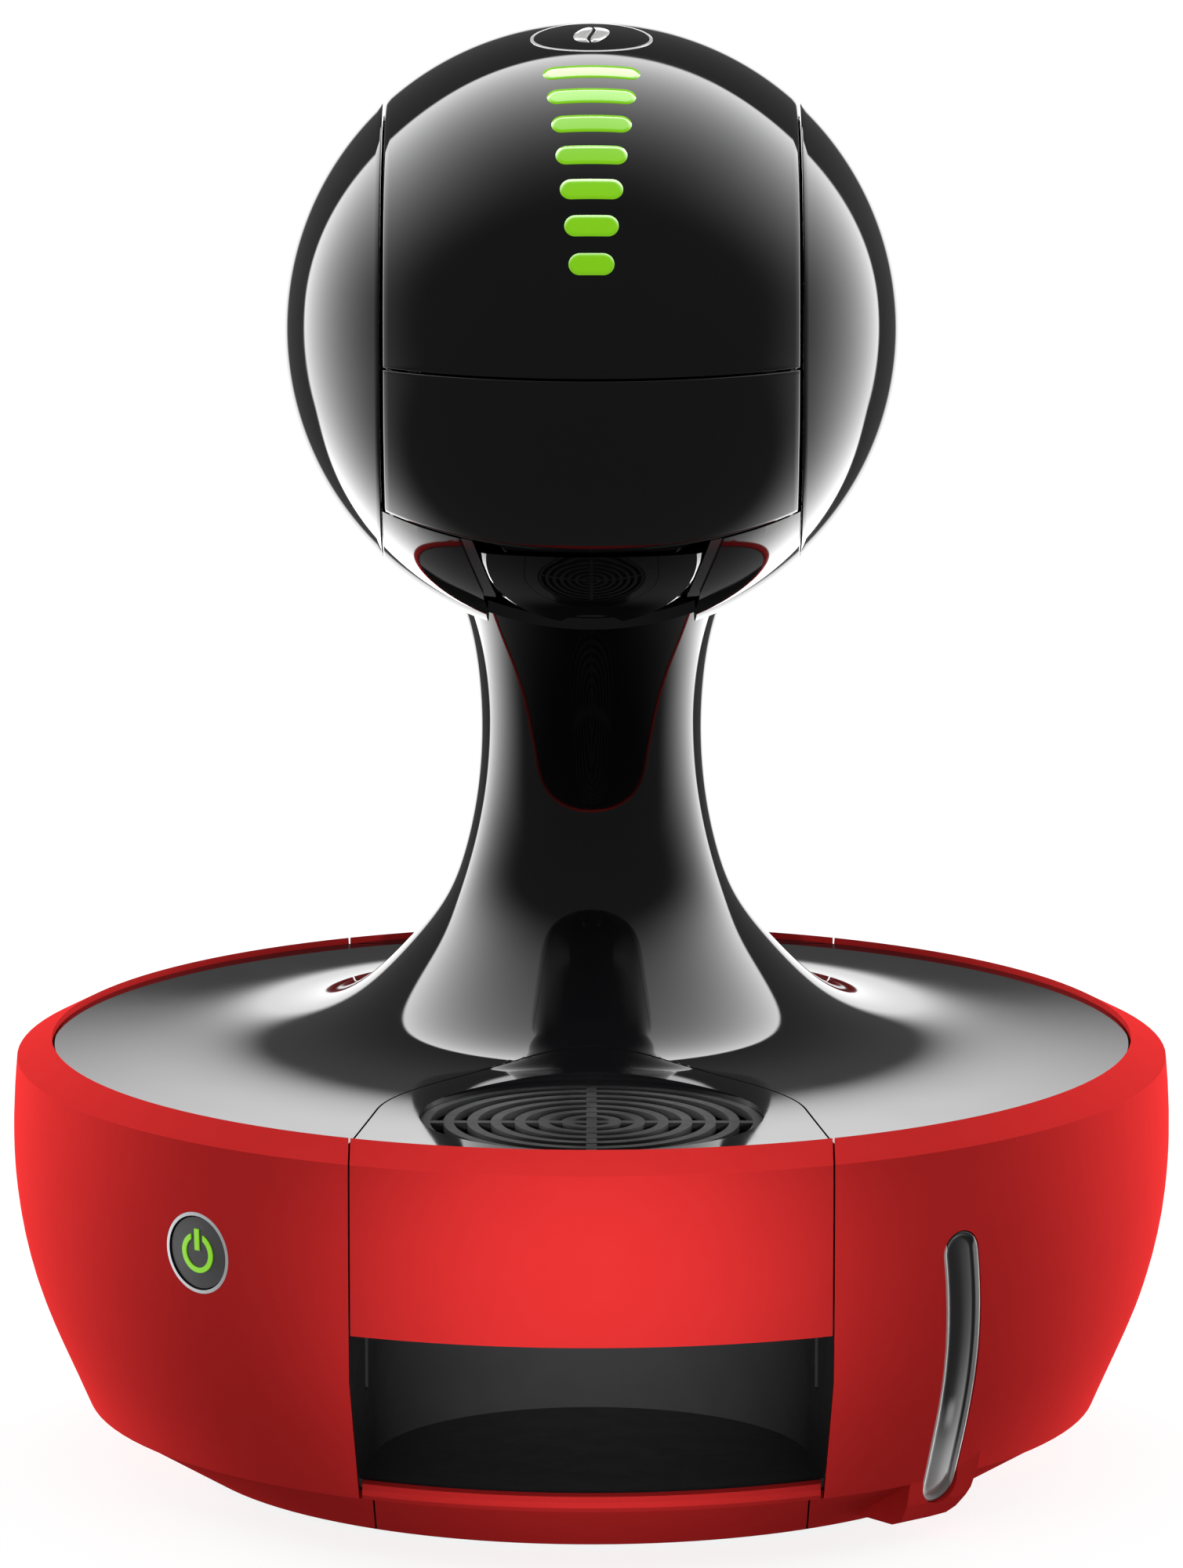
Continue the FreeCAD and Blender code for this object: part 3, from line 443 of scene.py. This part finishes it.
def neck_point(place, turn):
    """Point of the deck and neck; place counts rings from the rim, turn goes round from the front."""
    base = min(int(place), len(RINGS) - 4)
    u = place - base
    weights = np.array([(1 - u) ** 3, 3 * u ** 3 - 6 * u ** 2 + 4, 1 + 3 * u * (1 + u - u * u), u ** 3]) / 6
    half, front, back, height = weights @ RINGS[base:base + 4]
    return Vector((half * math.sin(turn), -(front + back) / 2 - (front - back) / 2 * math.cos(turn), height))


def neck_column(turn):
    """Points up one side of the moulding: skirt, deck, neck, fillet and over the ball."""
    low, high = 10.0, len(RINGS) - 3.0
    for _ in range(40):
        middle = (low + high) / 2
        if (neck_point(middle, turn) - HEAD).length > HEAD_RADIUS:
            low = middle
        else:
            high = middle
    meet = neck_point(low, turn)
    end = low
    while (neck_point(end, turn) - meet).length < FILLET:
        end -= 0.02
    column = [neck_point(0.0, turn) - Vector((0, 0, drop)) for drop in (SKIRT, 0.0008, 0.00025)]
    rows = 13 * STEPS
    column += [neck_point(end * k / rows, turn) for k in range(rows + 1)]
    last = column[-1]
    rising = (neck_point(end, turn) - neck_point(end - 0.01, turn)).normalized()
    up = (meet - HEAD).normalized()
    away = (CROWN - CROWN.dot(up) * up).normalized()
    angle = FILLET / HEAD_RADIUS
    landing = HEAD + HEAD_RADIUS * (math.cos(angle) * up + math.sin(angle) * away)
    leaving = math.cos(angle) * away - math.sin(angle) * up
    reach = (landing - last).length
    for k in range(1, 10):
        t = k / 10
        column.append((2 * t ** 3 - 3 * t ** 2 + 1) * last + (t ** 3 - 2 * t ** 2 + t) * reach * rising
                      + (3 * t ** 2 - 2 * t ** 3) * landing + (t ** 3 - t ** 2) * reach * leaving)
    start = (landing - HEAD).normalized()
    span = start.angle(CROWN)
    for k in range(60):
        t = k / 60
        column.append(HEAD + HEAD_RADIUS * (math.sin((1 - t) * span) * start + math.sin(t * span) * CROWN)
                      / math.sin(span))
    return column


def tower_mesh(name):
    """The closed outer surface of the deck, neck and ball."""
    columns = [neck_column(2 * math.pi * k / AROUND) for k in range(AROUND)]
    height = len(columns[0])
    verts = [p for column in columns for p in column] + [HEAD + HEAD_RADIUS * CROWN]
    faces = []
    for k in range(AROUND):
        a, b = k * height, (k + 1) % AROUND * height
        faces += [(a + j, b + j, b + j + 1, a + j + 1) for j in range(height - 1)]
        faces.append((a + height - 1, b + height - 1, len(verts) - 1))
    faces.append(tuple(k * height for k in range(AROUND)))
    mesh = bpy.data.meshes.new(name)
    mesh.from_pydata(verts, [], faces)
    turn_outward(mesh)
    return mesh


def block_of(outline, low, high, axis):
    """A cutter: an outline in the plane square to an axis, drawn from low to high along it."""
    verts = []
    for along in (low, high):
        for p, q in outline:
            verts.append({"X": (along, p, q), "Y": (p, along, q), "Z": (p, q, along)}[axis])
    count = len(outline)
    faces = [tuple(range(count)), tuple(range(2 * count - 1, count - 1, -1))]
    faces += [(k, (k + 1) % count, count + (k + 1) % count, count + k) for k in range(count)]
    mesh = bpy.data.meshes.new("cutter")
    mesh.from_pydata(verts, [], faces)
    turn_outward(mesh)
    return mesh


def box_of(x0, x1, y0, y1, z0, z1):
    """A cutter with six flat sides."""
    return block_of([(x0, y0), (x1, y0), (x1, y1), (x0, y1)], z0, z1, "Z")


def circle(x, y, radius, count=128):
    """Points round a circle."""
    turns = [2 * math.pi * k / count for k in range(count)]
    return [(x + radius * math.cos(a), y + radius * math.sin(a)) for a in turns]


def carve(thing, cutters, operation="DIFFERENCE"):
    """Cuts a piece with closed cutters and keeps the result in its mesh."""
    for mesh in cutters:
        tool = bpy.data.objects.new("cutter", mesh)
        bpy.context.scene.collection.objects.link(tool)
        cut = thing.modifiers.new("cut", "BOOLEAN")
        cut.operation = operation
        cut.solver = "MANIFOLD"
        cut.object = tool
        settle(thing)
        bpy.data.objects.remove(tool)
    return thing


def settle(thing):
    """Applies a piece's modifiers."""
    view = bpy.context.evaluated_depsgraph_get()
    view.update()
    mesh = bpy.data.meshes.new_from_object(thing.evaluated_get(view))
    thing.modifiers.clear()
    thing.data = mesh


def black_piece(name, mesh, cutters, body, node, kept=None, wall=0.0):
    """A polished black moulding cut from a closed surface, with crisp edges."""
    thing = bpy.data.objects.new(name, mesh)
    bpy.context.scene.collection.objects.link(thing)
    if wall:
        skin = thing.modifiers.new("wall", "SOLIDIFY")
        skin.thickness = wall
        skin.offset = -1.0
        settle(thing)
    if kept:
        carve(thing, kept, "INTERSECT")
    carve(thing, cutters)
    thing.data.polygons.foreach_set("use_smooth", [True] * len(thing.data.polygons))
    thing.data.set_sharp_from_angle(angle=math.radians(32))
    thing.data.materials.clear()
    thing.data.materials.append(black)
    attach(thing, body)
    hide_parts(node)
    return thing


PIVOT_Y = HEAD_Y - PIVOT_RADIUS * math.cos(PIVOT_ANGLE)
PIVOT_Z = HEAD_Z + PIVOT_RADIUS * math.sin(PIVOT_ANGLE)
CUP_Y = -0.076
TRAY_BACK_RADIUS = 0.046
TRAY_HALF = 0.0506
TRAY_CORNER_Y = -0.106
TRAY_GAP = 0.00045
SURROUND = 0.0026
FRONT, BACK = -0.13, 0.13
DECK_INNER = 0.1169
PLATE_BACK = 0.0876
GRID_SEAT, GRID_HOLE, GRID_SEAT_Z = 0.0364, 0.0346, 0.0884
TANK_HALF = 0.055
TANK_FRONT = 0.104
GRIP_BACK = 0.0872


def lid_side(grow):
    """Side view of the lid's space: over the front seam, round behind the hinge."""
    low, reach = HEAD_Z + LID_SEAM - grow, LID_TAIL + grow
    arc = [(PIVOT_Y + reach * math.cos(math.radians(a)), PIVOT_Z + reach * math.sin(math.radians(a)))
           for a in range(90, -91, -3)]
    return [(-0.13, low), (-0.13, 0.33), (PIVOT_Y, 0.33)] + arc + [(PIVOT_Y, low)]


def holder_side(grow):
    """Side view of the pod holder's space between its two seams."""
    def seam(forward):
        return HEAD_Z + SEAM_OFFSET - math.tan(SEAM_SLOPE) * forward - grow
    top = HEAD_Z + LID_SEAM - GAP + grow
    return [(HEAD_Y - 0.010, top), (HEAD_Y - 0.010, seam(0.010)), (HEAD_Y - 0.080, seam(0.080)),
            (HEAD_Y - 0.080, top)]


def tray_outline(extra):
    """Plan of the tray: a round back, then tangent sides that widen to the rim."""
    radius = TRAY_BACK_RADIUS + extra
    corner = (TRAY_HALF + extra, TRAY_CORNER_Y)
    reach = math.hypot(corner[0], corner[1] - CUP_Y)
    turn = math.atan2(corner[1] - CUP_Y, corner[0]) + math.acos(radius / reach)
    arc = [(radius * math.cos(a), CUP_Y + radius * math.sin(a))
           for a in np.linspace(turn, math.pi - turn, 96)]
    return [(corner[0], -0.14), corner] + arc + [(-corner[0], corner[1]), (-corner[0], -0.14)]


def outlet_outline(extra):
    """Front view of the slot for the outlet, under the ball."""
    shape = [(-0.026 - extra, 0.221), (-0.020 - extra, 0.204), (-0.018 - extra, 0.180)]
    return shape + [(-x, z) for x, z in reversed(shape)]


outer = tower_mesh("deck_and_neck")
spaces = [box_of(x0, x1, FRONT, 0.04, 0.16, 0.33) for x0, x1 in ((-0.09, -BAND_HALF), (BAND_HALF, 0.09))]
spaces.append(block_of(lid_side(GAP), -0.06, 0.06, "X"))
spaces.append(block_of(holder_side(GAP), -0.06, 0.06, "X"))
spaces.append(block_of(outlet_outline(SURROUND), FRONT, CUP_Y + 0.033, "Y"))
spaces.append(block_of(tray_outline(0.0), 0.06, 0.11, "Z"))
spaces.append(box_of(-TANK_HALF - GAP, TANK_HALF + GAP, TANK_FRONT - GAP, BACK, 0.08, 0.10))
black_piece("deck_and_neck", outer.copy(), spaces, "machine", "tower_housing", wall=WALL)

inside_rim = circle(0, 0, DECK_INNER, 240)
plate_space = [block_of(tray_outline(-TRAY_GAP), PLATE_BACK, 0.11, "Z"),
               block_of(inside_rim, 0.08, 0.11, "Z")]
recess = [block_of(circle(0, CUP_Y, GRID_SEAT), GRID_SEAT_Z, 0.11, "Z"),
          block_of(circle(0, CUP_Y, GRID_HOLE), 0.08, 0.10, "Z")]
black_piece("tray_plate", outer.copy(), recess, "drip_tray", "tray_top", kept=plate_space)

grip_space = [box_of(-TANK_HALF, TANK_HALF, TANK_FRONT, BACK, GRIP_BACK, 0.10),
              block_of(inside_rim, 0.08, 0.10, "Z")]
black_piece("tank_grip_strip", outer.copy(), [], "tank", "tank_grip", kept=grip_space)

coat_node("outlet_bowl", black)

# ---- Water gauge -------------------------------------------------------------------------
# The gauge's window is a thin moulded strip pressed into the wall's slot, with a raised rim;
# it follows the wall's curve. The strip's material is opaque, and its base colour is painted light
# for the water seen through clear plastic: darker above and lighter below, with painted highlights.

GAUGE_AZIMUTH = math.radians(40)
GAUGE_TOP = Vector((-0.0044, 0.0672))
GAUGE_LOW = Vector((0.0041, 0.0131))
GAUGE_HALF = 0.0046
WALL_CURVE = np.polyfit((14.0, 25.0, 38.0, 51.3, 62.0, 75.0, 89.4),
                        (110.2, 115.0, 120.3, 123.9, 125.5, 126.0, 125.2), 4)


def gauge_point(x, z, depth):
    """A point on the wall seen square on at the gauge, sunk by a depth."""
    radius = np.polyval(WALL_CURVE, z * 1000) / 1000 - depth
    forward = math.sqrt(radius * radius - x * x)
    return (x * math.cos(GAUGE_AZIMUTH) + forward * math.sin(GAUGE_AZIMUTH),
            x * math.sin(GAUGE_AZIMUTH) - forward * math.cos(GAUGE_AZIMUTH), z)


def gauge_ring(half, steps=24, rows=60):
    """Outline of a slot with round ends, as points across and up."""
    along = (GAUGE_TOP - GAUGE_LOW).normalized()
    across = Vector((along.y, -along.x))
    right = [GAUGE_LOW.lerp(GAUGE_TOP, k / rows) + across * half for k in range(1, rows)]
    left = [GAUGE_TOP.lerp(GAUGE_LOW, k / rows) - across * half for k in range(1, rows)]
    turns = [math.pi * k / steps for k in range(steps + 1)]
    over = [GAUGE_TOP + (across * math.cos(a) + along * math.sin(a)) * half for a in turns]
    under = [GAUGE_LOW - (across * math.cos(a) + along * math.sin(a)) * half for a in turns]
    return right + over + left + under


# section of the strip from its middle line round the back to the front: inset and depth, in mm
SECTION = [(4.6, 2.2), (3.0, 2.2), (1.2, 2.2), (0.0, 2.2), (0.0, 0.35), (0.10, 0.15), (0.25, 0.08),
           (0.55, 0.08), (0.70, 0.16), (0.85, 0.45), (1.0, 0.75), (1.3, 0.88), (2.0, 0.80), (3.0, 0.72),
           (3.9, 0.68), (4.6, 0.66)]
verts = []
for inset, depth in SECTION:
    outline = gauge_ring(max(GAUGE_HALF - inset / 1000, 0.0))
    verts += [gauge_point(point.x, point.y, depth / 1000) for point in outline]
faces = bands(range(0, len(verts), len(outline)), len(outline))

window, surface, space = finish("gauge_painted_light", (0.05, 0.05, 0.05), 0.06, IOR=1.49)
parts = space.node("ShaderNodeSeparateXYZ", Vector=space)
sideways = parts.out("X") * math.cos(GAUGE_AZIMUTH) + parts.out("Y") * math.sin(GAUGE_AZIMUTH)
rise = (parts.out("Z") - GAUGE_LOW.y) / (GAUGE_TOP.y - GAUGE_LOW.y)
centre = rise * (GAUGE_TOP.x - GAUGE_LOW.x) + GAUGE_LOW.x
off = sideways - centre
# rim marks the painted highlight lines along both long edges of the window, mixed in as white
rim = space.maths("ABSOLUTE", off, 0.0).step(0.0036, 0.0038)
# level is painted light: the window goes from dark at the top to light towards the bottom, with a wavy,
# slanted edge from ripple, for light seen through the water
ripple = space.node("ShaderNodeTexNoise", Vector=space, Scale=90.0, Detail=1.0)
level = (rise + ripple.out("Fac") * 0.12 + off * 22.0).step(0.42, 0.10)
# gleam is a painted highlight: a light stripe near the middle line, part way up the window
gleam_stripe = (0.0016 - space.maths("ABSOLUTE", off + 0.0004, 0.0)).step(0.0, 0.0014)
gleam = gleam_stripe * (rise.step(0.40, 0.32) - rise.step(0.30, 0.22))
# shade sums the painted light in the window's base colour: the painted lightening below, the painted
# highlight stripe and the painted highlight lines along the rim
shade = level * 0.42 + gleam * 0.5 + rim * 0.7 + 0.035
tone = space.node("ShaderNodeMix", {"data_type": "RGBA"}, Factor=shade, i6=(0.0, 0.0, 0.0, 1.0),
                  i7=(1.0, 1.0, 1.0, 1.0))
space.feed(surface["Base Color"], tone.out(2))
strip = piece("water_gauge_window", verts, faces, "machine", window)
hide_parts("gauge_window")

# ---- Matt and hidden parts ---------------------------------------------------------------
# Grid, bin and the works are fine-textured black mouldings, the bay's lining a lighter one;
# screws, frame and bezel are steel, the tank is clear, and the boards are green laminate.

matt, surface, space = finish("matt_black", (0.024, 0.024, 0.025), 0.45)
wear(matt, surface, space, 3200.0, 0.00003, 0.40, 0.52, (0.022, 0.022, 0.023), (0.030, 0.030, 0.031))
for entry in frame["record"]["subparts"]:
    if entry["material_slot"] in ("matte_black", "rubber"):
        coat_node(entry["node"], matt)

lining, surface, space = finish("bay_black", (0.05, 0.05, 0.052), 0.45)
wear(lining, surface, space, 3200.0, 0.00003, 0.40, 0.50, (0.046, 0.046, 0.048), (0.058, 0.058, 0.060))
coat_node("bay_liner", lining)
coat_node("guide_rails", lining)

grey, surface, space = finish("satin_grey", (0.09, 0.09, 0.095), 0.22, Metallic=0.3)
wear(grey, surface, space, 1800.0, 0.00002, 0.18, 0.28, (0.085, 0.085, 0.09), (0.11, 0.11, 0.115))
for node in ("outlet_surround", "finger_lip", "button_cap"):
    coat_node(node, grey)

steel, surface, space = finish("brushed_steel", (0.55, 0.56, 0.58), 0.3, Metallic=1.0)
wear(steel, surface, space, 900.0, 0.00001, 0.25, 0.38, (0.52, 0.53, 0.55), (0.60, 0.61, 0.62))
for entry in frame["record"]["subparts"]:
    if entry["material_slot"] in ("steel", "aluminium", "bezel_metal"):
        coat_node(entry["node"], steel)

coat_node("power_symbol", green)

clear, surface, space = finish("clear_plastic", (0.92, 0.94, 0.95), 0.06, Transmission_Weight=1.0, IOR=1.49)
haze = space.node("ShaderNodeTexNoise", Vector=space, Scale=60.0)
space.feed(surface["Roughness"], haze.out("Fac") * 0.04 + 0.03)
for node in ("tank_vessel", "gauge_tube"):
    coat_node(node, clear)

plain, surface, space = finish("works_plastic", (0.6, 0.61, 0.62), 0.4)
wear(plain, surface, space, 1500.0, 0.00002, 0.35, 0.5, (0.55, 0.56, 0.57), (0.66, 0.67, 0.68))
coat_node("tank_filter", plain)
coat_node("flow_meter", plain)
board, surface, space = finish("circuit_board", (0.02, 0.12, 0.05), 0.4)
wear(board, surface, space, 700.0, 0.00002, 0.3, 0.5, (0.02, 0.10, 0.04), (0.03, 0.16, 0.06))
coat_node("control_board", board)
coat_node("display_board", board)

# ---- Studio ------------------------------------------------------------------------------
# White paper underfoot and a spotlight from the front. The softbox that polished faces
# mirror is a wide ring with a sharp rear edge; the light that reaches matt faces comes
# mostly from behind at both sides, with a little from above.

CAMERA_REACH = 2.230
CAMERA_HEIGHT = 0.566
CAMERA_PITCH = math.radians(10.607)
LENS = 239.8

camera_data = bpy.data.cameras.new("camera")
camera_data.lens = LENS
camera_data.sensor_width = 36.0
camera_data.clip_end = 50.0
camera = bpy.data.objects.new("camera", camera_data)
camera.location = (0.0, -CAMERA_REACH, CAMERA_HEIGHT)
camera.rotation_euler = (math.pi / 2 - CAMERA_PITCH, 0.0, 0.0)
bpy.context.scene.collection.objects.link(camera)
bpy.context.scene.camera = camera

world = bpy.data.worlds.new("studio")
bpy.context.scene.world = world
world.use_nodes = True
sky = Flow(world.node_tree, None)
direction = sky.node("ShaderNodeTexCoord").out("Generated")
to_front = (0.0, -math.cos(CAMERA_PITCH), math.sin(CAMERA_PITCH))
to_top = (0.0, math.sin(CAMERA_PITCH), math.cos(CAMERA_PITCH))
dot = {"operation": "DOT_PRODUCT"}
facing = sky.node("ShaderNodeVectorMath", dot, i0=direction, i1=to_front).out("Value")
lift = sky.node("ShaderNodeVectorMath", dot, i0=direction, i1=to_top).out("Value")
high = lift.step(0.10, 0.75)
low = (0.0 - lift).step(0.15, 0.80)
inner = high * 0.30 - low * 0.60 + 0.45
fade = sky.maths("MAXIMUM", (inner - facing) / (inner + 0.70), 0.0)
edge = (facing - high * 0.185 + low + 0.705).step(-0.012, 0.012)
softbox = fade * fade * edge * (high * 3.2 + 5.3)
mirror = softbox + (0.0 - facing).step(0.912, 0.935) * 1.8 + 0.14
parts = sky.node("ShaderNodeSeparateXYZ", Vector=direction)
across = sky.maths("ABSOLUTE", parts.out("X"), 0.0)
rear_side = across * 0.788 + parts.out("Y") * 0.616
soft = rear_side.step(0.80, 1.0) * 10.6 + parts.out("Z").step(0.55, 1.0) + 0.12
path = sky.node("ShaderNodeLightPath")
seen = path.out("Is Camera Ray")
glossy = path.out("Is Glossy Ray")
background = world.node_tree.nodes["Background"]
background.inputs["Color"].default_value = (1.0, 1.0, 1.0, 1.0)
sky.feed(background.inputs["Strength"], seen + glossy * mirror + (1.0 - seen - glossy) * soft)

floor_mesh = bpy.data.meshes.new("floor")
floor_mesh.from_pydata([(-6, -6, 0), (6, -6, 0), (6, 6, 0), (-6, 6, 0)], [], [(0, 1, 2, 3)])
floor = bpy.data.objects.new("floor", floor_mesh)
bpy.context.scene.collection.objects.link(floor)
paper, surface, space = finish("paper_floor", (0.25, 0.25, 0.25), 0.7, Specular_IOR_Level=0.0)
surface["Emission Color"].default_value = (1.0, 1.0, 1.0, 1.0)
surface["Emission Strength"].default_value = 0.85
floor.visible_glossy = False
floor.visible_diffuse = False
tooth = space.node("ShaderNodeTexNoise", Vector=space, Scale=300.0)
space.feed(surface["Roughness"], tooth.out("Fac") * 0.1 + 0.65)
floor_mesh.materials.append(paper)

beam_data = bpy.data.lights.new("front_beam", "SPOT")
beam_data.energy = 160.0
beam_data.spot_size = math.radians(4.1)
beam_data.spot_blend = 1.0
beam_data.shadow_soft_size = 0.03
beam = bpy.data.objects.new("front_beam", beam_data)
beam.location = (0.0, -2.2, 0.35)
beam.rotation_euler = (math.atan2(2.08, 0.29), 0.0, 0.0)
beam.visible_glossy = False
bpy.context.scene.collection.objects.link(beam)

bpy.context.scene.view_settings.view_transform = "Standard"
